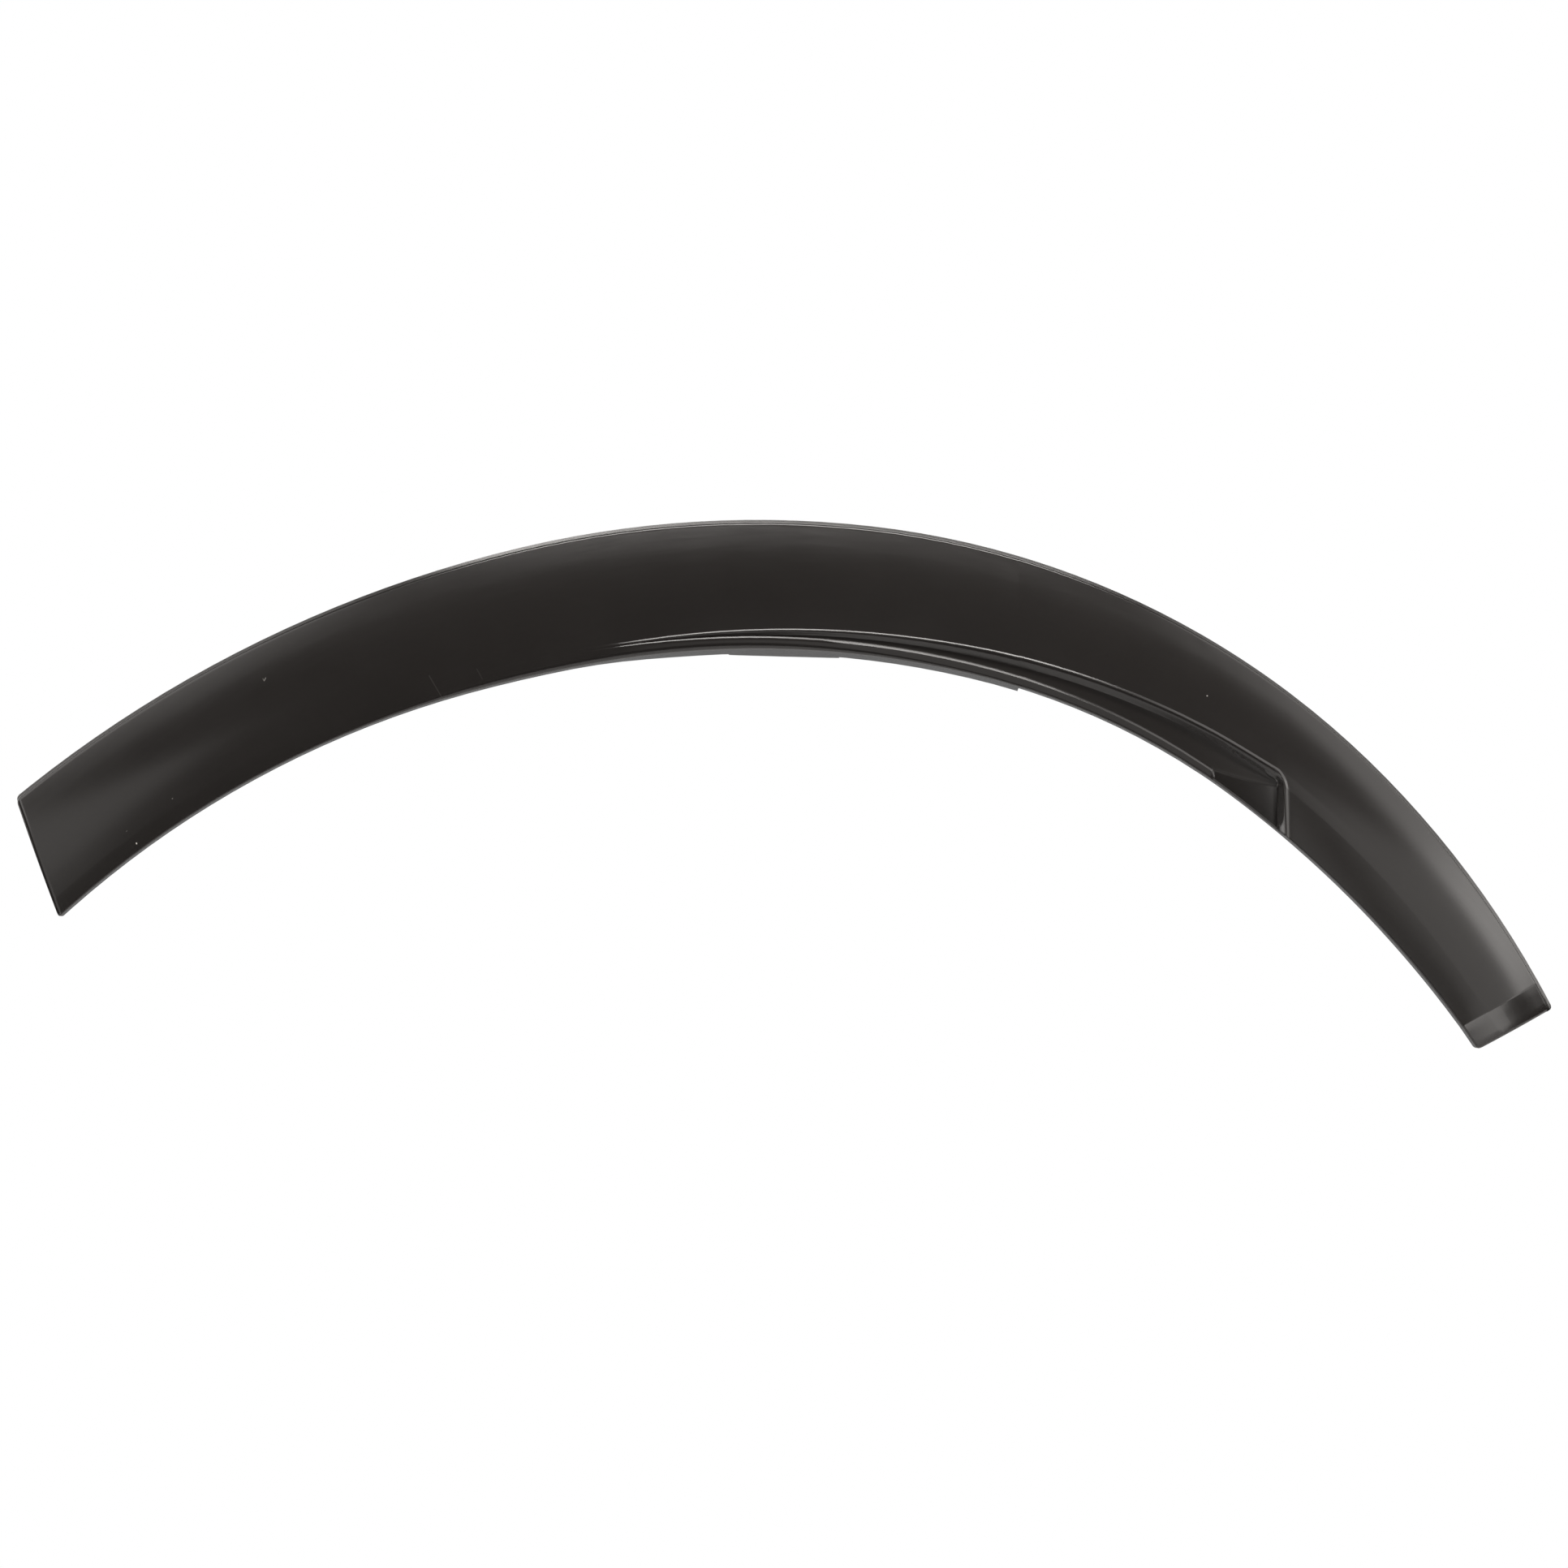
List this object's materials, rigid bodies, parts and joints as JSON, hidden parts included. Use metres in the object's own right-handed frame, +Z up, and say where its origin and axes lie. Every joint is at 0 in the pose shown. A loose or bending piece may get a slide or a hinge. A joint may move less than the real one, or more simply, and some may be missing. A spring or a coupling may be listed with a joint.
{
  "type": "wheel arch trim",
  "caption": "Moulded black arch trim that covers the edge of a wheel opening, with a flared face, an inward flange, a widening scoop along its edge and clip towers behind.",
  "frame": {"origin": "centre of the screw hole, on the underside of the tab at the crown of the arch", "axes": "+X along the trim to the right as seen from outside the vehicle, +Y into the vehicle, +Z up"},
  "size_m": [0.7183, 0.0433, 0.2467],
  "materials": {
    "trim_plastic": "satin black, finely textured moulding"
  },
  "bodies": {
    "root": {"arch_trim": "trim_plastic"}
  },
  "joints": []
}
